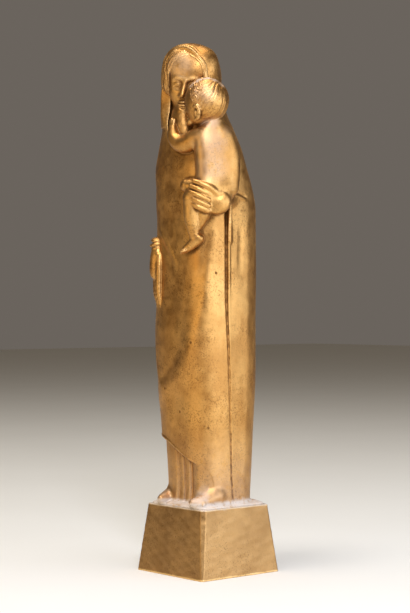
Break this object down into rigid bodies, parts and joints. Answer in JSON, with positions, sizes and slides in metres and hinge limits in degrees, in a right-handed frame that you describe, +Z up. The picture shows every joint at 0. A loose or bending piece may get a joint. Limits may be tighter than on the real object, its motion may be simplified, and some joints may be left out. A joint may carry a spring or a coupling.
{
  "type": "madonna and child statuette",
  "caption": "Tall slender cast brass figure of a veiled mother with a child on her left arm, standing on a tapered square plinth.",
  "frame": {"origin": "middle of the plinth's underside", "axes": "+Z up, the Madonna faces -Y and her left side, where the child sits, is +X"},
  "size_m": [0.0887, 0.0848, 0.4163],
  "materials": {
    "figure_brass": "cast brass with a warm brown patina, rubbed bright on the high places, fine casting pits, pale polish left in the hollows",
    "plinth_brass": "cast brass plate, browner and duller than the figure, fine pits and soft scratches, edges rubbed bright"
  },
  "bodies": {
    "root": {"madonna_and_child": "figure_brass", "plinth": "plinth_brass"}
  },
  "joints": []
}
